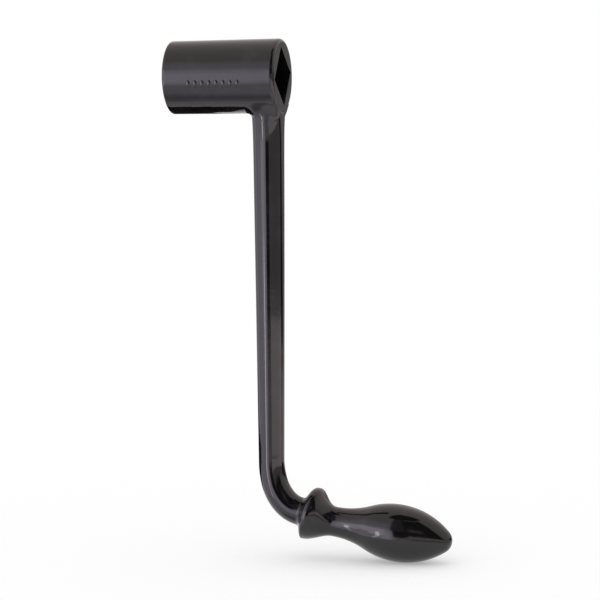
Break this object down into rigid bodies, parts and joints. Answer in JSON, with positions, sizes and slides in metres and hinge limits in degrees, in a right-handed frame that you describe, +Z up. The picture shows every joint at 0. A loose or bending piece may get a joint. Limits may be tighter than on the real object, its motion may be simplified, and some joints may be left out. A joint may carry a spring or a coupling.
{
  "type": "crank handle",
  "caption": "One-piece cast crank handle: a hub with a square through socket, a round tapered arm and a bulbous grip behind a flared collar.",
  "frame": {"origin": "on the socket's axis, where it meets the hub's front face, on the grip's side", "axes": "+X along the socket's axis, out of the hub's front face; +Z up, with the arm hanging down -Z; the arm and grip lie in the plane y = 0"},
  "size_m": [0.1692, 0.044, 0.3092],
  "materials": {
    "enamelled_iron": "gloss black enamel on a cast surface"
  },
  "bodies": {
    "root": {"crank_handle": "enamelled_iron"}
  },
  "joints": []
}
